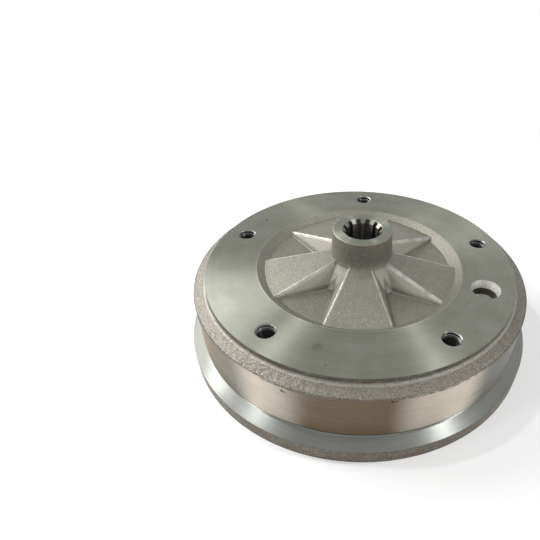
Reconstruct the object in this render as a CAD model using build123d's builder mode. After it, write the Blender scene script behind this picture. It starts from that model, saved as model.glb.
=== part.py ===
from build123d import *
from math import atan, cos, radians, sin
import os

# Rear brake drum: one grey-iron casting, turned where the wheel, the shoes and the axle touch it.
# Millimetres. The drum stands on its open rim with the hub up, the rim plane at z = 0 and the
# wheel axis on Z. The first bolt hole lies towards +Y.

# ---- turned body ---------------------------------------------------------------------------
brake_radius = 115.0      # braking surface, for a 230 mm drum
barrel_wall = 13.4        # braking surface out to the turned barrel
shelf_width = 9.2         # barrel in to the edge of the wheel face
flange_width = 8.6        # barrel out to the widest circle of the flange
face_height = 61.5        # open rim to the turned wheel face
neck_drop = 5.4           # wheel face down to the cast shelf
neck_foot = 1.8           # cone at the foot of the neck
shelf_fall = 2.5          # fall of the cast shelf out to the barrel
flange_height = 11.3      # open rim up to the flange's widest circle
flange_slope = 3.2        # rise of the flange cone from that circle to its ridge
relief_rise = 6.2         # that circle up to the small groove under the barrel
relief_depth = 1.8
rim_wall = 4.6            # thin outer wall at the open rim
rim_groove_width = 6.8    # groove that the backing plate runs in
rim_groove_depth = 7.0
brake_stop_drop = 15.2    # wheel face down to the end of the braking surface
lead_in = 3.6             # flare of the braking surface at the open rim
lead_in_height = 5.5
undercut = 0.9            # runout groove at the closed end of the braking surface
stop_width = 5.0          # turned land beside it
web_thickness = 11.2      # cast web behind the wheel face

# ---- cast star web -------------------------------------------------------------------------
arms = 5
recess_radius = 80.0      # where the wheel face breaks into the cast recess
star_reach = 77.0         # the star runs out inside the recess wall here
inner_ring = 70.0         # and the turned ring runs under it to here
recess_slope = 0.70       # fall of the recess wall per mm inwards
recess_shift = 1.2        # the cast recess sits this much off the turned axis
core_shift = 0.5          # and the star inside it this much
pad_start = 75.0          # pads meet the recess wall about here
pad_start_drop = 4.1      # depth of the pads there
pad_slope = 0.25          # rise of the pads towards the hub
floor_start = 72.0        # sunk bolt sectors meet the recess wall about here
floor_start_drop = 5.4    # depth of the sunk sectors there
floor_slope = 0.05        # fall of the sunk sectors towards the hub
floor_apex = 32.0         # the sides of a sunk sector would meet at this radius
floor_spread = 0.535      # half width gained per mm outwards from there
facet_draft = 35.0        # lean of the sides of the sunk sectors
ridge_round = 1.4         # rounding of the cast ridges
foot_round = 1.8          # rounding where the sides meet the sunk floors
gap_start_drop = 11.2     # inside of the drum: depth of the hollow sectors at their outer end
gap_slope = 0.15          # and their rise towards the hub
rib_tip = 101.0           # inside of the drum: the ribs behind the bolt sectors run out here
rib_back_start = 85.0     # their backs reach this radius
rib_back_drop = 14.0      # at this depth
rib_slope = 0.19          # fall of their backs towards the hub
rib_draft = 20.0
rib_root = 5.0            # the ribs are this much wider than the sunk sectors, each side
rib_spread = 0.317        # half width gained per mm outwards
rib_round = 0.8           # rounding of the rib backs
rib_root_round = 2.0      # rounding where the ribs meet the hollows

# ---- hub -----------------------------------------------------------------------------------
hub_rise = 29.0           # hub end above the wheel face
hub_radius = 22.5
hub_taper = 1.0           # cast side grows by this much at its root
root_top = 8.0            # the flare at the foot of the hub starts this far above the face
root_radius = 38.0        # and reaches the sunk floors at this radius
root_drop = 6.4
hub_tail = 54.0           # inner hub end below the wheel face
hub_tail_radius = 20.8
hub_core = 18.5           # the star stops here, inside the hub
tail_flare_drop = 24.0    # wheel face down to where the inner hub meets the web
teeth = 12
spline_major = 15.0
spline_minor = 12.6
spline_gap = 3.5          # width of each straight groove
bore_mouth = 15.4         # countersunk mouth of the bore

# ---- holes ---------------------------------------------------------------------------------
bolt_circle = 102.5       # pitch radius of the wheel bolts
bolt_radius = 6.25        # tapping size for M14 x 1.5
bolt_mouth = 7.1
boss_rise = 2.4           # flat boss behind every bolt hole
boss_length = 20.0
boss_width = 26.0
boss_corner = 5.0
boss_inset = 3.5          # the bosses lie this much nearer the axis than the holes
slot_width = 2.6          # narrow cast slots beside each boss
slot_length = 19.0
slot_depth = 3.2
slot_lean = 12.0          # they lean away from the boss by this angle
slot_gap = 3.3            # web between a boss and its slots
sight_radius_pitch = 97.5 # adjuster sight hole, between two arms of the web
sight_angle = 342.0
sight_mouth = 11.0
sight_throat = 8.0

first_bolt = 90.0
step = 360.0 / arms
bolt_angles = [first_bolt + step * i for i in range(arms)]
pad_angles = [angle + step / 2 for angle in bolt_angles]
barrel_radius = brake_radius + barrel_wall
face_radius = barrel_radius - shelf_width
flange_radius = barrel_radius + flange_width
lip_radius = flange_radius - rim_wall - rim_groove_width
relief_height = flange_height + relief_rise
web_back = face_height - web_thickness
brake_end = face_height - brake_stop_drop
boss_circle = bolt_circle - boss_inset
star_top = face_height + pad_slope * pad_start
star_low = face_height - rib_back_drop - rib_slope * rib_back_start


def sloped_plane(angle, radius, height, slope, facing):
    # A plane through the point at this radius, falling towards the axis by the slope.
    # It faces up with 1 and down with -1.
    lean = atan(slope)
    out = (cos(radians(angle)) * cos(lean), sin(radians(angle)) * cos(lean), sin(lean))
    up = (-cos(radians(angle)) * sin(lean), -sin(radians(angle)) * sin(lean), cos(lean))
    normal = tuple(facing * part for part in up)
    start = (radius * cos(radians(angle)), radius * sin(radians(angle)), height)
    return Plane(origin=start, x_dir=out, z_dir=normal)


def drafted_side(spread, reach, height, draft, side):
    # A drafted side of a sector along +X. At this height it is y = side * (spread * x + reach),
    # and it opens out upwards. The plane faces into the sector.
    turn = atan(spread)
    lean = radians(draft)
    along = (cos(turn), side * sin(turn), 0)
    inward = (sin(turn) * cos(lean), -side * cos(turn) * cos(lean), sin(lean))
    return Plane(origin=(0, side * reach, height), x_dir=along, z_dir=inward)


def inside_of(plane):
    # The block on the side that the plane faces.
    block = 2 * flange_radius
    return plane * Pos(0, 0, block / 2) * Box(2 * block, 2 * block, block, mode=Mode.PRIVATE)


def floor_plane(angle):
    return sloped_plane(angle, floor_start, face_height - floor_start_drop, floor_slope, 1)


def pad_plane(angle):
    return sloped_plane(angle, pad_start, face_height - pad_start_drop, -pad_slope, -1)


def gap_plane(angle):
    return sloped_plane(angle, pad_start, face_height - gap_start_drop, -gap_slope, -1)


def rib_plane(angle):
    return sloped_plane(angle, rib_back_start, face_height - rib_back_drop, rib_slope, 1)


def straight_edges_on(part, planes):
    # The straight edges of the part that lie in one of these planes.
    found = []
    for edge in part.edges().filter_by(GeomType.LINE):
        for plane in planes:
            if all(abs(plane.to_local_coords(edge @ end).Z) < 0.001 for end in (0, 1)):
                found.append(edge)
    return found


# ---- body of revolution: wheel face, shelf, barrel, flange, rim groove, braking surface -----
with BuildPart() as body:
    with BuildSketch(Plane.XZ):
        with BuildLine():
            Polyline(
                (inner_ring, face_height),
                (face_radius, face_height),
                (face_radius, face_height - neck_drop + neck_foot - 0.4),
                (face_radius + neck_foot, face_height - neck_drop - 0.4),
                (barrel_radius, face_height - neck_drop - shelf_fall),
                (barrel_radius, relief_height),
                (barrel_radius - relief_depth, relief_height - 1.4),
                (barrel_radius - 0.3, flange_height + flange_slope + 0.2),
                (flange_radius, flange_height),
                (flange_radius, 0),
                (flange_radius - rim_wall, 0),
                (flange_radius - rim_wall, rim_groove_depth),
                (lip_radius, rim_groove_depth),
                (lip_radius, 0),
                (brake_radius + lead_in, 0),
                (brake_radius, lead_in_height),
                (brake_radius, brake_end - 2.6),
                (brake_radius + undercut, brake_end - 2.0),
                (brake_radius + undercut, brake_end),
                (brake_radius - stop_width, brake_end),
                (brake_radius - stop_width, web_back),
                (inner_ring, web_back),
                close=True,
            )
        make_face()
    revolve(axis=Axis.Z)
    # The cast recess, a little off the turned axis.
    with Locations((-recess_shift, 0, face_height)):
        Cone(
            recess_radius - web_thickness / recess_slope, recess_radius, web_thickness,
            align=(Align.CENTER, Align.CENTER, Align.MAX), mode=Mode.SUBTRACT,
        )

# ---- one sunk sector, and the rib behind it, both along +X -----------------------------------
with BuildPart() as pocket:
    with BuildSketch(floor_plane(0.0)):
        Rectangle(2 * floor_start, 4 * floor_start)
    extrude(amount=star_top - star_low)
    for side in (-1, 1):
        wall = drafted_side(
            floor_spread, -floor_apex * floor_spread, face_height - floor_start_drop, facet_draft, side
        )
        add(inside_of(wall), mode=Mode.INTERSECT)

with BuildPart() as rib:
    with BuildSketch(Plane.XY.offset(star_low)):
        with Locations((rib_tip / 2, 0)):
            Rectangle(rib_tip, 2 * rib_tip)
    extrude(amount=face_height - star_low)
    for side in (-1, 1):
        add(inside_of(drafted_side(rib_spread, rib_root, face_height, rib_draft, side)), mode=Mode.INTERSECT)
    add(inside_of(rib_plane(0.0)), mode=Mode.INTERSECT)

# ---- the hollows inside the drum, behind the pads and between the ribs ------------------------
with BuildPart() as hollows:
    with BuildSketch(Plane.XY.offset(star_low)):
        Circle(rib_tip)
    extrude(amount=star_top - star_low)
    for angle in pad_angles:
        add(inside_of(gap_plane(angle)), mode=Mode.INTERSECT)
    for angle in bolt_angles:
        add(rib.part.rotate(Axis.Z, angle), mode=Mode.SUBTRACT)

# ---- star web: raised pads between the bolts, sunk sectors at the bolts ----------------------
star_base = Plane.XY.offset(star_low).rotated((0, 0, pad_angles[0]))
with BuildPart() as star:
    with BuildSketch(star_base):
        Circle(star_reach)
    extrude(amount=star_top - star_low)
    for angle in pad_angles:
        add(inside_of(pad_plane(angle)), mode=Mode.INTERSECT)
    add(hollows.part, mode=Mode.SUBTRACT)
    for angle in bolt_angles:
        add(pocket.part.rotate(Axis.Z, angle), mode=Mode.SUBTRACT)
    # The hub fills the middle.
    with BuildSketch(star_base):
        Circle(hub_core)
    extrude(amount=star_top - star_low, mode=Mode.SUBTRACT)
    fillet(straight_edges_on(star.part, [floor_plane(angle) for angle in bolt_angles]), foot_round)
    fillet(straight_edges_on(star.part, [pad_plane(angle) for angle in pad_angles]), ridge_round)
    fillet(straight_edges_on(star.part, [gap_plane(angle) for angle in pad_angles]), rib_root_round)
    fillet(straight_edges_on(star.part, [rib_plane(angle) for angle in bolt_angles]), rib_round)

with BuildPart() as rib_feet:
    for angle in bolt_angles:
        add(rib.part.rotate(Axis.Z, angle))
    with BuildSketch(Plane.XY.offset(web_back + 0.5)):
        Circle(rib_tip * 1.2)
    extrude(amount=star_low - web_back, mode=Mode.INTERSECT)

# ---- hub -----------------------------------------------------------------------------------
hub_end = face_height + hub_rise
tail_end = face_height - hub_tail
with BuildPart() as hub:
    with BuildSketch(Plane.XZ):
        with BuildLine():
            Polyline(
                (0, hub_end),
                (hub_radius - 0.9, hub_end),
                (hub_radius, hub_end - 0.9),
                (hub_radius + hub_taper, face_height + root_top + 2.0),
                (hub_radius + hub_taper + 1.0, face_height + root_top - 0.8),
                (root_radius, face_height - root_drop),
                (root_radius - 4.0, face_height - root_drop - 1.6),
                (hub_tail_radius + 6.0, face_height - tail_flare_drop + 8.0),
                (hub_tail_radius + 2.4, face_height - tail_flare_drop),
                (hub_tail_radius, face_height - tail_flare_drop - 4.0),
                (hub_tail_radius, tail_end + 0.8),
                (hub_tail_radius - 0.8, tail_end),
                (0, tail_end),
                close=True,
            )
        make_face()
    revolve(axis=Axis.Z)

# ---- the whole casting -----------------------------------------------------------------------
with BuildPart() as drum:
    add(body.part)
    add(star.part.moved(Location((-core_shift, 0, 0))))
    add(rib_feet.part.moved(Location((-core_shift, 0, 0))))
    add(hub.part)
    # Flat bosses behind the bolt holes.
    for angle in bolt_angles:
        with BuildSketch(Plane.XY.offset(web_back)):
            with Locations(Location((0, 0, 0), (0, 0, angle))):
                with Locations((boss_circle, 0)):
                    RectangleRounded(boss_length, boss_width, boss_corner)
        extrude(amount=-boss_rise)
    # Narrow cast slots on both sides of each boss.
    slot_offset = boss_width / 2 + slot_gap + slot_width / 2
    for angle in bolt_angles:
        for side in (-1, 1):
            with BuildSketch(Plane.XY.offset(web_back + slot_depth)):
                with Locations(Location((0, 0, 0), (0, 0, angle))):
                    with Locations(Location((boss_circle, side * slot_offset, 0), (0, 0, side * slot_lean))):
                        SlotOverall(slot_length, slot_width)
            extrude(amount=-slot_depth - 6.0, mode=Mode.SUBTRACT)
    # Splined bore with countersunk mouths.
    with BuildSketch(Plane.XY.offset(tail_end)):
        with PolarLocations((spline_major + spline_minor) / 2, teeth, start_angle=180.0 / teeth):
            Rectangle(spline_major - spline_minor + 3.0, spline_gap)
        Circle(spline_major, mode=Mode.INTERSECT)
        Circle(spline_minor)
    extrude(amount=hub_rise + hub_tail, mode=Mode.SUBTRACT)
    mouth = bore_mouth - spline_minor
    with Locations((0, 0, hub_end - mouth / 2), (0, 0, tail_end + mouth / 2)):
        Cylinder(spline_minor, mouth, mode=Mode.SUBTRACT)
    with Locations((0, 0, hub_end - mouth / 2)):
        Cone(spline_minor, bore_mouth, mouth, mode=Mode.SUBTRACT)
    with Locations((0, 0, tail_end + mouth / 2)):
        Cone(bore_mouth, spline_minor, mouth, mode=Mode.SUBTRACT)
    # Tapped bolt holes.
    with PolarLocations(bolt_circle, arms, start_angle=first_bolt):
        with Locations((0, 0, face_height - web_thickness / 2 - boss_rise / 2)):
            Cylinder(bolt_radius, web_thickness + boss_rise + 4.0, mode=Mode.SUBTRACT)
        with Locations((0, 0, face_height - (bolt_mouth - bolt_radius) / 2)):
            Cone(bolt_radius, bolt_mouth, bolt_mouth - bolt_radius, mode=Mode.SUBTRACT)
    # Adjuster sight hole.
    with PolarLocations(sight_radius_pitch, 1, start_angle=sight_angle):
        with Locations((0, 0, face_height - web_thickness / 2)):
            Cone(sight_throat, sight_mouth, web_thickness, mode=Mode.SUBTRACT)

drum.part.label = "brake_drum"
os.makedirs("parts", exist_ok=True)
export_step(drum.part, "parts/brake_drum.step")
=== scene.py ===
# %% [markdown]
# # A cast-iron brake drum
# The drum is one casting: a hub, a star-shaped web, a flat ring for the wheel, a barrel and a
# flange. The CAD model gives its exact shape. Here it gets its surfaces: bright where a lathe has
# cut it, and grainy where it is as it came out of the sand. Everything is in metres.

# %% Load the frame
import math
import bpy
from mathutils import Matrix, Vector


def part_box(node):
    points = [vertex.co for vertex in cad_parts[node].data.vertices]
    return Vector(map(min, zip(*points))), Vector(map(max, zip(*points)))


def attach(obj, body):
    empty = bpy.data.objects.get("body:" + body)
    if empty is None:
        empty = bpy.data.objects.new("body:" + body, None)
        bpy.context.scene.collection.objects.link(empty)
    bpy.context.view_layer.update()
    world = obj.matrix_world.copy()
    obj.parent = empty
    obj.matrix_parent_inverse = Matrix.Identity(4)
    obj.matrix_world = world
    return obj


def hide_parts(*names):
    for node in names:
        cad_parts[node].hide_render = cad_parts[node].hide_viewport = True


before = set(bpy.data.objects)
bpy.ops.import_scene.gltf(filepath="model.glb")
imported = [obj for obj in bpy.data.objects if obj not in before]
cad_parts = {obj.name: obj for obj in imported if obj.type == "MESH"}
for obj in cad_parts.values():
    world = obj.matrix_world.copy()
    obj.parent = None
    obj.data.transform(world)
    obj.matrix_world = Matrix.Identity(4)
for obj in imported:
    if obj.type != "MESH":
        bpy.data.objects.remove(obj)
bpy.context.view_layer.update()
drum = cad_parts["brake_drum"]
print("CAD triangles", len(drum.data.polygons))

# %% [markdown]
# ## The sizes that the finishes follow
# A lathe leaves its marks on rings, and the sand keeps the rest, so most finishes are bands of
# radius and height. They are measured from the frame where it has them, and named once here.

# %% Name the bands
low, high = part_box("brake_drum")
mm = 0.001
FACE = high.z - 29.0 * mm        # the turned ring that the wheel seats on
FACE_MM = FACE / mm              # its height, as the shader patterns read it
NECK = 119.2 * mm                # outer edge of the ring
BARREL = 128.4 * mm              # turned outside of the barrel
BARREL_TOP = FACE - 7.9 * mm     # where the cast shelf ends and the turning starts
RELIEF = FACE - 44.0 * mm        # groove under the barrel
FLANGE = FACE - 50.2 * mm        # the flange's widest circle
HUB = 22.5 * mm
BRAKE = 115.0 * mm               # braking surface, inside the barrel
BOLTS = 102.5 * mm               # circle of the five bolt holes
BOLT_BEARINGS = [math.radians(90 + 72 * i) for i in range(5)]
SIGHT = (97.5 * mm, math.radians(342.0))      # radius and bearing of the sight hole
print("drum", [round(v * 1000, 1) for v in high - low], "mm, wheel face at", round(FACE * 1000, 1))

# %% [markdown]
# ## The camera
# The camera comes first, because every finish is judged through it. It stands close to the drum
# and looks down at it at about forty degrees. The drum sits low and to the right in the frame. A
# camera that was turned to do that would change the perspective, so the lens shift does it.

# %% Place the camera
VIEW_FROM = Vector((-1.1, -281.6, 259.9)) * mm
AZIMUTH, ELEVATION, ROLL = (math.radians(a) for a in (0.24, 40.40, 2.17))
FOCAL_PX, CENTRE_X_PX, CENTRE_Y_PX, FRAME_PX = 433.6, 357.0, 300.0, 540.0

level = math.cos(ELEVATION)
back = Vector((math.sin(AZIMUTH) * level, -math.cos(AZIMUTH) * level, math.sin(ELEVATION)))
side = Vector((math.cos(AZIMUTH), math.sin(AZIMUTH), 0))
up = back.cross(side)
right = side * math.cos(ROLL) + up * math.sin(ROLL)
top = up * math.cos(ROLL) - side * math.sin(ROLL)

lens = bpy.data.cameras.new("camera")
lens.sensor_width = 36.0
lens.lens = lens.sensor_width * FOCAL_PX / FRAME_PX
lens.shift_x = (FRAME_PX / 2 - CENTRE_X_PX) / FRAME_PX
lens.shift_y = (CENTRE_Y_PX - FRAME_PX / 2) / FRAME_PX
camera = bpy.data.objects.new("camera", lens)
bpy.context.scene.collection.objects.link(camera)
camera.matrix_world = Matrix((right, top, back)).transposed().to_4x4()
camera.location = VIEW_FROM
bpy.context.scene.camera = camera
print("lens", round(lens.lens, 2), "mm")

# %% [markdown]
# ## Shader maths
# Every finish is worked out from where a point lies on the drum: its distance from the axis, its
# height and its angle round the wheel. The nodes could be wired one by one, but a small class that
# wraps a node's socket lets such a rule be written as an ordinary sum. Its `node` method adds any
# other node.

# %% A class for shader values
class Value:
    def __init__(self, tree, socket):
        self.tree = tree
        self.socket = socket

    def node(self, kind, inputs, output=0, **settings):
        made = self.tree.nodes.new(kind)
        for name, setting in settings.items():
            setattr(made, name, setting)
        for name, item in inputs.items():
            if isinstance(item, Value):
                self.tree.links.new(item.socket, made.inputs[name])
            else:
                made.inputs[name].default_value = item
        return Value(self.tree, made.outputs[output])

    def math(self, operation, *others):
        return self.node("ShaderNodeMath", dict(enumerate((self, *others))), operation=operation)

    def __add__(self, other): return self.math("ADD", other)
    def __radd__(self, other): return self.math("ADD", other)
    def __sub__(self, other): return self.math("SUBTRACT", other)
    def __rsub__(self, other): return (self * -1.0) + other
    def __mul__(self, other): return self.math("MULTIPLY", other)
    def __rmul__(self, other): return self.math("MULTIPLY", other)

    def rise(self, start, end):
        """0 below start, 1 above end, and a smooth step between them."""
        return self.node(
            "ShaderNodeMapRange",
            {"Value": self, "From Min": start, "From Max": end},
            interpolation_type="SMOOTHSTEP",
        )

    def band(self, start, end, soft):
        """1 between start and end, with soft edges."""
        return self.rise(start - soft, start) * (1.0 - self.rise(end, end + soft))

    def blend(self, first, second):
        """A colour between two colours, by this value."""
        return self.node(
            "ShaderNodeMix", {0: self, 6: first, 7: second},
            output=2, data_type="RGBA", clamp_factor=True,
        )


def toned(colour, factor):
    """A plain colour made darker or paler, and no paler than white."""
    return tuple(min(1.0, factor * c) for c in colour[:3]) + (1,)


print("a shader value knows rise, band and blend, and a plain colour can be toned")

# %% [markdown]
# ## Where a point is
# Object coordinates come in metres, and the patterns are easier to think of in millimetres. The
# angle is counted from the +X side, anticlockwise as seen from the hub.

# %% Coordinates of a point
class Place:
    def __init__(self, tree):
        coordinates = Value(tree, tree.nodes.new("ShaderNodeTexCoord").outputs["Object"])
        self.mm = coordinates.node(
            "ShaderNodeVectorMath", {0: coordinates, "Scale": 1000.0}, operation="SCALE"
        )
        split = self.mm.node("ShaderNodeSeparateXYZ", {0: self.mm})
        self.x, self.y, self.z = (Value(tree, split.socket.node.outputs[i]) for i in range(3))
        self.r = (self.x * self.x + self.y * self.y).math("SQRT")
        self.angle = self.y.math("ARCTAN2", self.x)

    def vector(self, x, y, z):
        return self.x.node("ShaderNodeCombineXYZ", {0: x, 1: y, 2: z})

    def noise(self, per_mm, detail=2.0, rough=0.5, at=None, shift=0.0):
        where = self.mm if at is None else at
        moved = where.node(
            "ShaderNodeVectorMath", {0: where, 1: (shift, -shift, 0.5 * shift)}, operation="ADD"
        )
        return moved.node(
            "ShaderNodeTexNoise",
            {"Vector": moved, "Scale": per_mm, "Detail": detail, "Roughness": rough},
        )

    def cells(self, per_mm, output):
        """Scattered cells: the distance to the middle of each, or its own colour."""
        return self.mm.node("ShaderNodeTexVoronoi", {"Vector": self.mm, "Scale": per_mm}, output=output)

    def sector(self, start, end, soft):
        """1 between two bearings in degrees, with soft edges."""
        return self.angle.band(math.radians(start), math.radians(end), math.radians(soft))

    def spot(self, x, y, z, size, soft):
        """1 inside a small ball round a point, 0 outside it."""
        gap = self.mm.node(
            "ShaderNodeVectorMath", {0: self.mm, 1: (x, y, z)}, output=1, operation="DISTANCE"
        )
        return 1.0 - gap.rise(size, size + soft)


print("a place knows x, y, z, r and angle, and", [n for n in vars(Place) if n[0] != "_"])

# %% [markdown]
# ## Helpers for a finish
# Each finish is one Principled surface. One helper starts it, one stacks bumps, which are the
# relief that is too fine to model, and one fills the surface's sockets with rules or with numbers.

# %% Start and fill a finish
def new_finish(name):
    made = bpy.data.materials.new(name)
    made.use_nodes = True
    tree = made.node_tree
    tree.nodes.clear()
    output = tree.nodes.new("ShaderNodeOutputMaterial")
    surface = tree.nodes.new("ShaderNodeBsdfPrincipled")
    tree.links.new(surface.outputs[0], output.inputs["Surface"])
    return made, tree, surface


def bumped(surface, layers):
    """Adds Bump nodes one after another: each layer is (height value, depth in metres)."""
    last = None
    for height, depth in layers:
        inputs = {"Height": height, "Distance": depth, "Strength": 1.0}
        if last is not None:
            inputs["Normal"] = last
        last = height.node("ShaderNodeBump", inputs)
    last.tree.links.new(last.socket, surface.inputs["Normal"])


def feed(surface, **values):
    """Links shader values, and sets plain numbers, on the surface's own sockets."""
    for name, item in values.items():
        socket = surface.inputs[name.replace("_", " ")]
        if isinstance(item, Value):
            item.tree.links.new(item.socket, socket)
        else:
            socket.default_value = item


def lathe_cut(at, surface, strength):
    """Stretches the highlight across rings that run round the axis."""
    feed(surface, Anisotropic=strength, Anisotropic_Rotation=0.25)
    tangent = at.r.node("ShaderNodeTangent", {}, direction_type="RADIAL", axis="Z")
    tangent.tree.links.new(tangent.socket, surface.inputs["Tangent"])


TURNED_METAL, CAST_METAL = 0.9, 0.55
print("metal share: turned", TURNED_METAL, "cast", CAST_METAL)

# %% [markdown]
# ## The turned wheel face
# A lathe tool cuts fine rings into the face. Light glints off the sides of those rings in narrow
# streaks that point at the axis. Rings modelled one by one would need millions of faces, and an
# anisotropic shader does the same: its tangent runs round the axis, and a quarter turn of rotation
# spreads the highlight across the rings. The rings themselves are noise that changes only with
# the radius. A few dark pores and a smudge lie at fixed places, as the casting left them.

# %% Turned face
FACE_PORES = (           # x, y, size in mm
    (-107.0, 28.0, 0.5), (-97.0, 14.0, 0.4), (-92.5, 20.0, 0.4), (61.0, 85.0, 0.4), (-19.0, -110.0, 0.3),
)


def turned_face():
    made, tree, surface = new_finish("turned_face")
    at = Place(tree)
    tint = at.noise(0.035, 3.0)
    haze = at.noise(0.16, 4.0, 0.6, shift=40.0)
    rings = at.noise(3.0, 2.0, at=at.vector(at.r, 0.0, at.z * 0.3))
    wide_rings = at.noise(0.5, 2.0, at=at.vector(at.r, 3.0, at.z * 0.3))
    grit = at.noise(1.1, 3.0, 0.6, shift=3.0)
    colour = tint.rise(0.35, 0.7).blend((0.185, 0.195, 0.158, 1), (0.225, 0.23, 0.195, 1))
    colour = (haze.rise(0.5, 0.75) * 0.3).blend(colour, (0.155, 0.155, 0.125, 1))
    colour = (wide_rings.rise(0.35, 0.7) * 0.14).blend(colour, (0.27, 0.27, 0.24, 1))
    colour = (rings.rise(0.4, 0.7) * 0.10).blend(colour, (0.14, 0.14, 0.12, 1))
    colour = (grit.rise(0.55, 0.8) * 0.22).blend(colour, (0.10, 0.10, 0.08, 1))
    pore = at.spot(-85.3, 56.4, 61.5, 0.7, 0.6)
    for x, y, size in FACE_PORES:
        pore = pore.math("MAXIMUM", at.spot(x, y, 61.5, size, 0.6) * 0.6)
    colour = pore.blend(colour, (0.035, 0.022, 0.012, 1))
    smudge = at.spot(-25.7, -95.3, 61.5, 0.6, 4.5) * haze.rise(0.25, 0.5)
    colour = (smudge.math("MINIMUM", 1.0) * 0.6).blend(colour, (0.075, 0.075, 0.06, 1))
    # A fine painted highlight where the face breaks into the recess, which is cast a little off the
    # axis.
    off_axis = at.x + 1.2
    edge = ((off_axis * off_axis + at.y * at.y).math("SQRT") - 80.3).math("ABSOLUTE")
    colour = ((1.0 - edge.rise(0.1, 0.7)) * 0.3).blend(colour, (0.40, 0.39, 0.36, 1))
    feed(
        surface, Base_Color=colour, Metallic=TURNED_METAL,
        Roughness=0.30 + 0.03 * rings + 0.06 * haze,
    )
    lathe_cut(at, surface, 0.95)
    bumped(surface, [(rings, 0.00002), (grit, 0.000008)])
    return made


print("pores on the face", 1 + len(FACE_PORES))

# %% [markdown]
# ## Turned walls
# The barrel, the flange and the braking surface are turned too, but on a wall the rings run level.
# The same idea gives upright highlights there. Bare iron browns a little within days, so the colour
# drifts between grey and brown in patches. On the barrel a painted dark reflection browns the front
# and, more weakly, a patch at the far left, and two painted highlights lie beside the front. The
# flange cone gets painted shade on its left side, the groove under the barrel gets painted shade,
# and a threaded hole gets painted shade towards its bottom.

# %% Turned wall
BARREL_CHIPS = (         # x, y, z, size in mm
    (-44.9, -120.3, 48.8, 0.9), (-43.2, -121.0, 48.4, 0.5),
    (21.5, -126.6, 50.9, 0.9), (24.0, -126.2, 51.0, 0.6),
)


def turned_wall(name, grey, brown, roughness, painted_reflections=0.0, shaded_below=None, chips=()):
    made, tree, surface = new_finish(name)
    at = Place(tree)
    patches = at.noise(0.03, 3.0, 0.6, shift=11.0)
    streaks = at.noise(1.0, 3.0, at=at.vector(at.angle * 3.0, 0.0, at.z * 0.9))
    rings = at.noise(2.6, 2.0, at=at.vector(at.r * 0.4, 0.0, at.z))
    pits = at.noise(0.9, 2.0, 0.5, shift=5.0)
    # Painted dark reflection: the front of the barrel, and more weakly a patch at its far left.
    front = at.sector(-97, -82, 18).math("MAXIMUM", at.sector(-165, -143, 12) * 0.7)
    # Painted highlights: two pale reflections beside the front of the barrel, where brown patches are
    # kept away too.
    highlight_sectors = at.sector(-118, -115, 13).math("MAXIMUM", at.sector(-71, -58, 11))
    brown_and_dark_reflection = patches.rise(0.42, 0.72) * 0.5 * (1.0 - highlight_sectors) + front * painted_reflections
    colour = brown_and_dark_reflection.math("MINIMUM", 1.0).blend(grey, brown)
    colour = (highlight_sectors * painted_reflections * 0.9).blend(colour, (0.60, 0.535, 0.455, 1))
    colour = (streaks.rise(0.45, 0.75) * 0.25).blend(colour, toned(brown, 0.6))
    colour = (rings.rise(0.35, 0.7) * 0.12).blend(colour, toned(grey, 1.4))
    colour = (pits.rise(0.70, 0.76) * 0.6).blend(colour, (0.05, 0.04, 0.03, 1))
    # Painted shade in the groove under the barrel.
    groove = at.z.band(15.6, 17.7, 0.5) * at.r.rise(124.0, 125.0)
    colour = (groove * 0.75).blend(colour, (0.035, 0.03, 0.022, 1))
    # Painted shade on the left side of the flange cone, under the barrel.
    left_side_shade = (at.x * -1.0).rise(98.0, 116.0) * at.r.rise(123.0, 124.0) * (1.0 - at.z.rise(15.0, 17.0))
    colour = (left_side_shade * 0.72).blend(colour, (0.045, 0.045, 0.038, 1))
    for x, y, z, size in chips:
        colour = (at.spot(x, y, z, size, 0.5) * 0.8).blend(colour, (0.05, 0.038, 0.026, 1))
    if shaded_below is not None:
        # Painted shade inside a threaded hole, darker towards its bottom.
        hole_shade = 1.0 - at.z.rise(shaded_below - 5.0, shaded_below)
        colour = hole_shade.blend(colour, (0.016, 0.016, 0.013, 1))
    feed(
        surface, Base_Color=colour, Metallic=TURNED_METAL,
        Roughness=roughness + 0.06 * rings + 0.06 * patches,
    )
    lathe_cut(at, surface, 0.8)
    bumped(surface, [(rings, 0.000012), (pits, 0.00001)])
    return made


print("chips on the barrel", len(BARREL_CHIPS))

# %% [markdown]
# ## The lines of the star
# A painted highlight runs along the ridges of the star, painted light makes its sloped sides pale,
# and painted shade darkens the feet of the sides. They could be painted on by hand, but they lie
# where two sloped planes meet, so a short sum finds them. The angle is folded, so that one sum
# serves both sides of all five sectors.

# %% Where the ridges of the star are
STAR_SHIFT = 0.5                                # the star is cast this much off the turned axis
HALF_STEP = math.radians(36.0)                  # from the middle of a sunk sector to that of a pad
SIDES_MEET, HALF_SPREAD = 32.0, 0.535           # a sector widens outwards from this radius
FLOOR_DROP, PAD_DROP = 5.4, 4.1                 # depths of the floors and pads below the face
PAD_START, PAD_SLOPE = 75.0, 0.25               # the pads climb inwards from this radius
SIDE_LEAN = 0.794                               # a side leans out this much for each mm of height


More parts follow.
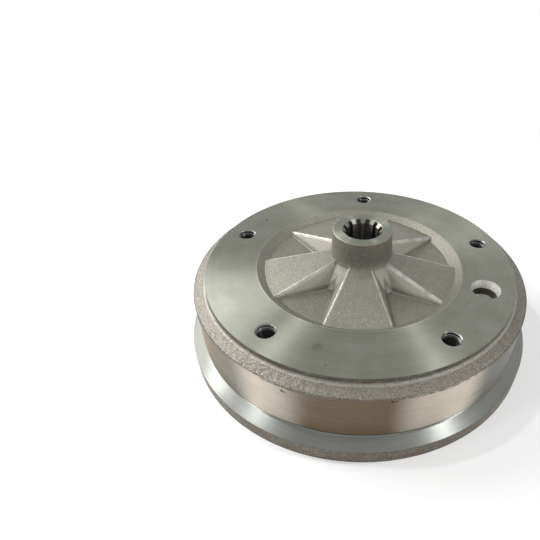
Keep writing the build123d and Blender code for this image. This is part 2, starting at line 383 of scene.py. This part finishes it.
def star_lines(at):
    """Masks for the painted highlight on the crests beside the pads, the painted shade at the feet of
    the sunk sectors and the painted light on the sides between.
    """
    x = at.x + STAR_SHIFT
    radius = (x * x + at.y * at.y).math("SQRT")
    bearing = at.y.math("ARCTAN2", x) + (4 * math.pi - math.radians(90.0))
    fold = bearing.math("PINGPONG", HALF_STEP)
    along = radius * fold.math("COSINE")
    beside = radius * fold.math("SINE")
    from_foot = beside - HALF_SPREAD * (along - SIDES_MEET)
    pad_along = radius * (HALF_STEP - fold).math("COSINE")
    from_crest = from_foot - SIDE_LEAN * (FLOOR_DROP - PAD_DROP + PAD_SLOPE * (PAD_START - pad_along))
    outside = at.z.rise(FACE_MM - 9.0, FACE_MM - 7.0)
    upper = outside * (1.0 - radius.rise(72.0, 75.0)) * radius.rise(24.0, 27.0)
    # Noise breaks up the painted highlight along the crests.
    crest_breakup = at.noise(0.14, 2.0, shift=14.0).rise(0.30, 0.62) * 0.75 + 0.25
    crest = (1.0 - from_crest.math("ABSOLUTE").rise(0.5, 2.2)) * upper * crest_breakup
    foot = (1.0 - from_foot.math("ABSOLUTE").rise(0.4, 2.4)) * upper * (1.0 - crest)
    slope = from_foot.rise(0.3, 1.6) * (1.0 - from_crest.rise(-1.2, 0.2)) * upper
    return crest, foot, slope


print("a sector's sides spread", round(math.degrees(2 * math.atan(HALF_SPREAD)), 1), "degrees")

# %% [markdown]
# ## Cast skin
# Sand leaves a fine grain, and shot blasting turns it to a dull silver with tiny sparkles. Two
# sizes of noise give the grain, and scattered cells give the sparkles. The skin is nearly the same
# all over, so the broad change of tone stays faint. The rim that stood on the ground has rusted.
# The shelf has a painted highlight along the fillet at its inner edge and painted shade on the steep
# wall above it, and the sight hole's wall is painted pale as lit and painted dark deep down as shade.

# %% Cast skin
def cast_skin(
    name, light, dark, grain_depth, coarse=1.0, ridges=False, fillet_light_and_shade=False, deep_shade_below=None, rust=False,
):
    made, tree, surface = new_finish(name)
    at = Place(tree)
    grain = at.noise(0.95 / coarse, 4.0, 0.7)
    fine = at.noise(2.3, 3.0, 0.6, shift=31.0)
    tints = at.cells(1.7 / coarse, "Color")
    lucky = tints.node("ShaderNodeSeparateXYZ", {0: tints})
    pebble = at.cells(0.75 / coarse, "Distance")
    mottle = at.noise(0.10, 3.0, 0.6, shift=7.0)
    colour = grain.rise(0.32, 0.68).blend(dark, light)
    colour = (mottle.rise(0.35, 0.7) * 0.18).blend(colour, toned(dark, 0.72))
    colour = (fine.rise(0.55, 0.75) * 0.25).blend(colour, toned(light, 1.35))
    colour = (lucky.rise(0.88, 0.98) * 0.4).blend(colour, toned(light, 1.8))
    colour = ((lucky * -1.0).rise(-0.12, -0.02) * 0.35).blend(colour, toned(dark, 0.55))
    gloss = 0.40 + 0.16 * grain
    if ridges:
        # Painted light on the star: a painted highlight on the crests, painted light on the sloped sides
        # and painted shade at their feet.
        crest, foot, slope = star_lines(at)
        colour = (slope * 0.52).blend(colour, (0.33, 0.31, 0.275, 1))
        colour = (crest * 0.7).blend(colour, (0.52, 0.505, 0.475, 1))
        colour = (foot * 0.5).blend(colour, toned(dark, 0.5))
        gloss = gloss - crest * 0.12
    if fillet_light_and_shade:
        # Painted light on the shelf: painted shade on the steep wall under the face, and a painted
        # highlight along the fillet at its foot.
        fillet_highlight = at.r.band(119.7, 120.7, 0.6) * grain.rise(0.25, 0.5)
        neck = (1.0 - at.r.rise(119.3, 120.0)) * at.z.rise(FACE_MM - 5.0, FACE_MM - 4.4)
        colour = (neck * 0.45).blend(colour, (0.105, 0.092, 0.072, 1))
        colour = (fillet_highlight * 0.42).blend(colour, (0.46, 0.44, 0.41, 1))
    if rust:
        patch = at.noise(0.07, 3.0, 0.65, shift=23.0).rise(0.45, 0.66)
        colour = (patch * 0.45).blend(colour, (0.125, 0.075, 0.038, 1))
        chipped = at.z.rise(9.6, 10.8) * at.noise(0.35, 2.0, shift=9.0).rise(0.52, 0.60)
        colour = (chipped * 0.7).blend(colour, (0.055, 0.038, 0.024, 1))
    if deep_shade_below is not None:
        # Painted shade deep down in the sight hole.
        deep_shade = 1.0 - at.z.rise(deep_shade_below - 0.7, deep_shade_below)
        colour = deep_shade.blend(colour, (0.06, 0.056, 0.042, 1))
    feed(surface, Base_Color=colour, Metallic=CAST_METAL, Roughness=gloss)
    bumped(surface, [(pebble, grain_depth), (grain, grain_depth * 1.5)])
    return made


print("the sight hole's upper wall is pale down to", round(FACE_MM - 5.8, 1), "mm")

# %% [markdown]
# ## The finishes of this drum
# Nine finishes come from the three recipes: one for the face, four turned walls and four skins.
# Each recipe is given two colours, which it mixes by its own noise.

# %% Make the finishes
finishes = {
    "face": turned_face(),
    "wall": turned_wall(
        "turned_barrel", (0.195, 0.192, 0.180, 1), (0.158, 0.116, 0.071, 1), 0.40,
        # the barrel's painted dark reflection and painted highlights
        painted_reflections=0.95, chips=BARREL_CHIPS,
    ),
    "bright": turned_wall("turned_bright", (0.185, 0.192, 0.180, 1), (0.15, 0.15, 0.132, 1), 0.24),
    "bore": turned_wall("broached_bore", (0.19, 0.185, 0.17, 1), (0.13, 0.115, 0.095, 1), 0.30),
    "cast": cast_skin(
        # the star's painted highlights and painted shade
        "cast_skin", (0.206, 0.199, 0.166, 1), (0.151, 0.145, 0.120, 1), 0.00010, ridges=True,
    ),
    "thread": turned_wall(
        "cut_thread", (0.22, 0.225, 0.235, 1), (0.13, 0.13, 0.125, 1), 0.30,
        # painted shade deep in the threaded holes
        shaded_below=FACE_MM - 1.5,
    ),
    "sight": cast_skin(
        # painted light makes the sight hole's wall pale, and painted shade darkens it deep down
        "sight_hole_skin", (0.74, 0.72, 0.69, 1), (0.52, 0.50, 0.47, 1), 0.00010,
        deep_shade_below=FACE_MM - 5.8,
    ),
    "shelf": cast_skin(
        # the shelf's painted highlight and painted shade
        "cast_shelf", (0.208, 0.194, 0.165, 1), (0.112, 0.101, 0.083, 1), 0.00013, fillet_light_and_shade=True,
    ),
    "rim": cast_skin(
        "rim_skin", (0.205, 0.188, 0.158, 1), (0.105, 0.088, 0.066, 1), 0.00016,
        coarse=1.7, rust=True,
    ),
}
print("finishes", sorted(finishes))

# %% [markdown]
# ## The drum's own skin
# The CAD mesh is loose triangles, so a copy of it is merged first, to let light pass smoothly over
# its curves. Then each triangle gets the finish of the band that its middle lies in, which needs no
# seams or painting because the finishes change where the real surfaces do.

# %% Copy and merge the casting
def deselect_all():
    for item in bpy.context.selected_objects:
        item.select_set(False)


deselect_all()
casting = drum.copy()
casting.data = drum.data.copy()
casting.name = "drum_casting"
casting.parent = None
for key in list(casting.keys()):
    del casting[key]
bpy.context.scene.collection.objects.link(casting)
casting.matrix_world = Matrix.Identity(4)
bpy.context.view_layer.objects.active = casting
casting.select_set(True)
bpy.ops.object.mode_set(mode="EDIT")
bpy.ops.mesh.select_all(action="SELECT")
bpy.ops.mesh.remove_doubles(threshold=0.00001)
bpy.ops.mesh.customdata_custom_splitnormals_clear()
bpy.ops.object.mode_set(mode="OBJECT")
bpy.ops.object.shade_smooth_by_angle(angle=math.radians(20))
print("merged", len(casting.data.vertices), "points")

# %% Sort the faces into finishes
sight_middle = Vector((SIGHT[0] * math.cos(SIGHT[1]), SIGHT[0] * math.sin(SIGHT[1])))


def finish_of(centre, normal):
    radius = math.hypot(centre.x, centre.y)
    level = abs(normal.z) > 0.99
    steep = abs(normal.z) < 0.9
    if (centre.xy - sight_middle).length < 11.5 * mm and steep:
        return "sight"
    if radius < 17 * mm and steep:
        return "bore"
    if abs(radius - BOLTS) < 8 * mm and not level and centre.z > FACE - 13.7 * mm:
        return "bore"
    if level and centre.z > FACE - 0.1 * mm:
        return "face"
    if level and centre.z < low.z + 10 * mm and radius < HUB:
        return "face"
    if radius > BARREL + 7.5 * mm and centre.z < FLANGE:
        return "rim"
    if radius > BARREL - 4 * mm and RELIEF - 0.1 * mm > centre.z > FLANGE - 0.1 * mm:
        return "bright"
    if radius > BARREL - 1.2 * mm and RELIEF < centre.z < BARREL_TOP + 0.1 * mm:
        return "wall"
    if radius > NECK - 1.5 * mm and centre.z > BARREL_TOP - 0.1 * mm:
        return "shelf"
    if radius > BRAKE - 6 * mm and centre.z < FACE - 12 * mm:
        return "bright"
    return "cast"


names = list(finishes)
casting.data.materials.clear()
for name in names:
    casting.data.materials.append(finishes[name])
for face in casting.data.polygons:
    face.material_index = names.index(finish_of(face.center, face.normal))
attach(casting, "root")
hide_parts("brake_drum")
print({n: sum(f.material_index == i for f in casting.data.polygons) for i, n in enumerate(names)})

# %% [markdown]
# ## Room for the finer pieces
# The shelf and the threads are modelled again with more relief than the CAD has. Two surfaces in
# one place would show through each other, so the plain ones are deleted from the copy.

# %% Clear the places of the shelf and the threads
bpy.ops.object.mode_set(mode="EDIT")
bpy.ops.mesh.select_mode(type="FACE")
bpy.ops.mesh.select_all(action="DESELECT")
bpy.ops.object.mode_set(mode="OBJECT")
for face in casting.data.polygons:
    centre = face.center
    from_bolts = min(
        math.hypot(centre.x - BOLTS * math.cos(b), centre.y - BOLTS * math.sin(b))
        for b in BOLT_BEARINGS
    )
    in_hole = from_bolts < 6.6 * mm and abs(face.normal.z) < 0.2
    face.select = in_hole or names[face.material_index] == "shelf"
bpy.ops.object.mode_set(mode="EDIT")
bpy.ops.mesh.delete(type="FACE")
bpy.ops.mesh.select_mode(type="VERT")
bpy.ops.object.mode_set(mode="OBJECT")
print("faces left", len(casting.data.polygons))

# %% [markdown]
# ## The cast shelf
# Round the wheel face runs a shelf that no tool has touched. Its sand grain is coarse enough to
# show in its outline, and it ends in a ragged line where the barrel was turned. A bump map can't
# change an outline, so the relief is real: the shelf is a ring of its own, with its profile drawn
# point by point and spun round the axis.

# %% Draw the profile of the shelf
deselect_all()
SHELF_CORNERS = [        # radius, and height from the wheel face, in mm
    (118.9, 0.0), (119.2, -0.25), (119.3, -3.6), (119.9, -4.9), (121.2, -5.7),
    (124.5, -6.75), (127.6, -7.6), (128.3, -8.1), (128.5, -9.3), (127.6, -10.0),
]
POINT_GAP = 0.42         # mm between points, to carry the grain
profile = [SHELF_CORNERS[0]]
for start, end in zip(SHELF_CORNERS, SHELF_CORNERS[1:]):
    parts = max(1, round(math.dist(start, end) / POINT_GAP))
    profile += [tuple(a + (b - a) * i / parts for a, b in zip(start, end)) for i in range(1, parts + 1)]
bpy.ops.mesh.primitive_plane_add(size=mm, location=(profile[0][0] * mm, 0, FACE))
shelf = bpy.context.object
shelf.name = "cast_shelf"
bpy.ops.object.transform_apply(location=True)
bpy.ops.object.mode_set(mode="EDIT")
bpy.ops.mesh.merge(type="CENTER")
for (r0, z0), (r1, z1) in zip(profile, profile[1:]):
    step = ((r1 - r0) * mm, 0, (z1 - z0) * mm)
    bpy.ops.mesh.extrude_region_move(TRANSFORM_OT_translate={"value": step})
print("profile points", len(profile))

# %% Spin the profile
def flip_faces():
    """Turns the faces of the active piece the other way."""
    bpy.ops.object.mode_set(mode="EDIT")
    bpy.ops.mesh.select_all(action="SELECT")
    bpy.ops.mesh.flip_normals()
    bpy.ops.object.mode_set(mode="OBJECT")


bpy.ops.mesh.select_all(action="SELECT")
bpy.ops.mesh.spin(steps=1080, angle=math.tau, center=(0, 0, 0), axis=(0, 0, 1))
bpy.ops.mesh.select_all(action="SELECT")
bpy.ops.mesh.remove_doubles(threshold=0.00002)
bpy.ops.object.mode_set(mode="OBJECT")
shelf_mid = next(f for f in shelf.data.polygons if 123 * mm < f.center.xy.length < 126 * mm)
if shelf_mid.normal.z < 0:
    flip_faces()
print("shelf faces", len(shelf.data.polygons))

# %% [markdown]
# ## The grain of the shelf
# A small burr is left on the shelf's outer edge, so the points near it are lifted first. Then
# three sizes of cloud noise push the surface about: grains, lumps and a slow wave. The rows at the
# shelf's ends hold still, through a vertex group, to keep it closed to the casting.

# %% Raise the burr and roughen the shelf
BURR = (3.6 * mm, -128.3 * mm, FACE - 8.1 * mm)
BURR_HEIGHT, BURR_REACH = 1.3 * mm, 1.8 * mm
for v in shelf.data.vertices:
    v.co.z += BURR_HEIGHT * max(0.0, 1.0 - math.dist(v.co, BURR) / BURR_REACH) ** 2
free = shelf.vertex_groups.new(name="free")
for v in shelf.data.vertices:
    r, z = v.co.xy.length / mm, (v.co.z - FACE) / mm
    from_face = min(1.0, max(0.0, (-0.1 - z) / 0.9))
    from_barrel = min(1.0, max(0.0, (r - 127.5) / 0.4) if z < -9.0 else 1.0)
    free.add([v.index], from_face * from_barrel, "REPLACE")
CLOUDS = (("pebble", 1.4 * mm, 0.50 * mm), ("lump", 4.5 * mm, 0.38 * mm), ("wave", 20 * mm, 0.4 * mm))
for name, scale, strength in CLOUDS:
    cloud = bpy.data.textures.new(name, "CLOUDS")
    cloud.noise_scale = scale
    cloud.noise_depth = 1
    push = shelf.modifiers.new(name, "DISPLACE")
    push.texture = cloud
    push.texture_coords = "LOCAL"
    push.strength = strength
    push.mid_level = 0.52
    push.vertex_group = "free"
    bpy.ops.object.modifier_apply(modifier=name)
bpy.ops.object.shade_smooth()
shelf.data.materials.append(finishes["shelf"])
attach(shelf, "root")
print("shelf height", round(shelf.dimensions.z / mm, 1), "mm")

# %% [markdown]
# ## Threads
# The five bolt holes are tapped. A thread is a small vee that climbs by its pitch on each turn.
# It could be spun step by step, but the Screw modifier makes exactly that of a bent line, so each
# hole gets one, with its own mesh.

# %% Tap the bolt holes
HOLE_RADIUS = 6.25 * mm
LOWEST_TURN = FACE - 14.3 * mm
PITCH, TURNS = 1.5 * mm, 8
VEE = ((0.0, 0.15), (0.72, 0.55), (0.0, 0.1), (-0.72, 0.7))      # steps out and up, in mm
for i, bearing in enumerate(BOLT_BEARINGS):
    deselect_all()
    bpy.ops.mesh.primitive_plane_add(size=0.1 * mm, location=(HOLE_RADIUS, 0, 0))
    thread = bpy.context.object
    thread.name = f"bolt_thread_{i + 1}"
    bpy.ops.object.transform_apply(location=True)
    bpy.ops.object.mode_set(mode="EDIT")
    bpy.ops.mesh.merge(type="CENTER")
    for out, climb in VEE:
        bpy.ops.mesh.extrude_region_move(TRANSFORM_OT_translate={"value": (out * mm, 0, climb * mm)})
    bpy.ops.object.mode_set(mode="OBJECT")
    screw = thread.modifiers.new("screw", "SCREW")
    screw.axis = "Z"
    screw.angle = math.tau
    screw.screw_offset = PITCH
    screw.iterations = TURNS
    screw.steps = screw.render_steps = 40
    screw.use_merge_vertices = True
    bpy.ops.object.modifier_apply(modifier="screw")
    middle = Vector((BOLTS * math.cos(bearing), BOLTS * math.sin(bearing), LOWEST_TURN))
    thread.location = middle
    bpy.ops.object.transform_apply(location=True)
    wall_face = thread.data.polygons[len(thread.data.polygons) // 2]
    if (wall_face.center - middle).xy.dot(wall_face.normal.xy) > 0:
        flip_faces()
    bpy.ops.object.shade_smooth_by_angle(angle=math.radians(25))
    thread.data.materials.append(finishes["thread"])
    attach(thread, "root")
print("threads", len(BOLT_BEARINGS), "faces each", len(thread.data.polygons))

# %% [markdown]
# ## The floor
# The floor is plain and pale, and shows the drum's shadow. It thins out at a distance, so that it
# has no horizon. It also stops under the drum, so that light reaches the inside, and it isn't seen
# from below. The Light Path node lets it glow white to the camera and in the metal only.

# %% Floor
FLOOR_GLOW = 0.38
deselect_all()
bpy.ops.mesh.primitive_plane_add(size=4.0, location=(0, 0, low.z))
floor = bpy.context.object
floor.name = "floor"
paper, floor_tree, floor_surface = new_finish("floor_paper")
on_floor = Place(floor_tree)
seen = Value(floor_tree, floor_tree.nodes.new("ShaderNodeLightPath").outputs["Is Camera Ray"])
mirrored = Value(floor_tree, seen.socket.node.outputs["Is Glossy Ray"])
glow = seen.math("MAXIMUM", mirrored).blend((0, 0, 0, 1), (1, 1, 1, 1))
above = 1.0 - Value(floor_tree, floor_tree.nodes.new("ShaderNodeNewGeometry").outputs["Backfacing"])
feed(
    floor_surface, Base_Color=(0.64, 0.64, 0.64, 1), Roughness=0.9, Specular_IOR_Level=0.0,
    Emission_Color=glow, Emission_Strength=FLOOR_GLOW,
    Alpha=above * on_floor.r.rise(113.0, 116.0) * (1.0 - on_floor.r.rise(330.0, 650.0)),
)
floor.data.materials.append(paper)
print("floor at", round(low.z / mm, 1), "mm")

# %% [markdown]
# ## The world
# A studio has pale walls. The world is plain white where it is seen, by the camera, in the metal or
# through glass, and dim as a lamp, so that it doesn't wash out the shadow.

# %% World
WORLD_DIM = 0.31
world = bpy.data.worlds.new("studio")
bpy.context.scene.world = world
world.use_nodes = True
sky = world.node_tree.nodes["Background"]
sky.inputs["Color"].default_value = (1, 1, 1, 1)
rays = world.node_tree.nodes.new("ShaderNodeLightPath")
shown = Value(world.node_tree, rays.outputs["Is Camera Ray"])
for kind in ("Is Glossy Ray", "Is Transmission Ray"):
    shown = shown.math("MAXIMUM", Value(world.node_tree, rays.outputs[kind]))
strength = shown * (1.0 - WORLD_DIM) + WORLD_DIM
world.node_tree.links.new(strength.socket, sky.inputs["Strength"])
print("world strength", WORLD_DIM, "to 1")

# %% [markdown]
# ## The lamps
# Turned metal shows its lamps, so their places are chosen for the streaks they draw. Two small
# lamps high over the drum draw the thin streaks across the wheel face, and a wide one at the left
# draws the broad one. Two low lamps light the barrel.

# %% Lamps
LAMP_DISTANCE = 1.5
LAMPS = (                # name, direction, size in metres, power in watts
    ("high_left", (-0.46, 0.10, 0.88), 0.08, 4.4),
    ("high_right", (0.44, 0.02, 0.90), 0.08, 4.4),
    ("wide_left", (-0.76, 0.38, 0.54), 1.10, 23.0),
    ("low_left", (-0.85, -0.50, 0.30), 0.34, 5.4),
    ("low_right", (0.82, -0.50, 0.30), 0.36, 4.6),
)
for name, direction, size, power in LAMPS:
    light = bpy.data.lights.new(name, "AREA")
    light.shape = "DISK"
    light.size = size
    light.energy = power
    lamp = bpy.data.objects.new(name, light)
    bpy.context.scene.collection.objects.link(lamp)
    lamp.location = Vector(direction).normalized() * LAMP_DISTANCE
    lamp.rotation_euler = lamp.location.to_track_quat("Z", "Y").to_euler()
    lamp.visible_camera = False
print("lamps", [name for name, *_ in LAMPS])

# %% Set the view transform
bpy.context.scene.view_settings.view_transform = "Standard"
